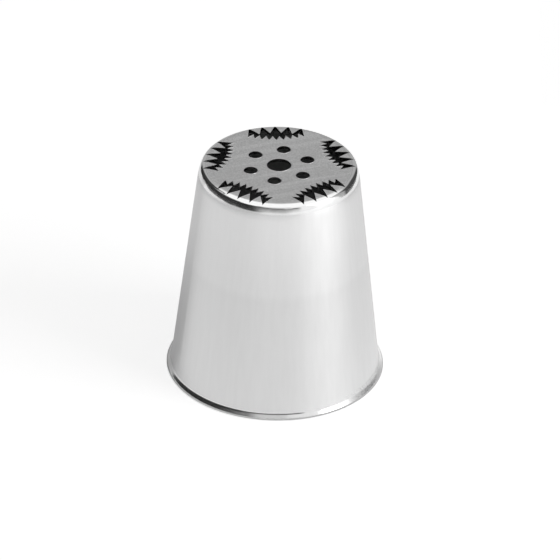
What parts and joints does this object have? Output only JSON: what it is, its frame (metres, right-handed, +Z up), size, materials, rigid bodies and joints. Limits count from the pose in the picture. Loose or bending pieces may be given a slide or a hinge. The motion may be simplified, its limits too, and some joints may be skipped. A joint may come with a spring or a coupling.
{
  "type": "piping nozzle",
  "caption": "Tapered sheet-steel piping nozzle with a flared standing rim and a flat tip pierced by toothed slots and round outlets.",
  "frame": {"origin": "middle of the standing rim's flat face, on the nozzle's axis", "axes": "+Z up the nozzle's axis from the wide standing rim to the pierced tip; +X through the middle of the first toothed slot and of the first small outlet"},
  "size_m": [0.035, 0.035, 0.0371],
  "materials": {
    "cone_steel": "polished by spinning, with a soft sheen",
    "cap_steel": "matt grey disc with a polished shoulder",
    "weld_steel": "ground flush and polished"
  },
  "bodies": {
    "root": {"cone_shell": "cone_steel", "tip_cap": "cap_steel", "seam_weld": "weld_steel"}
  },
  "joints": []
}
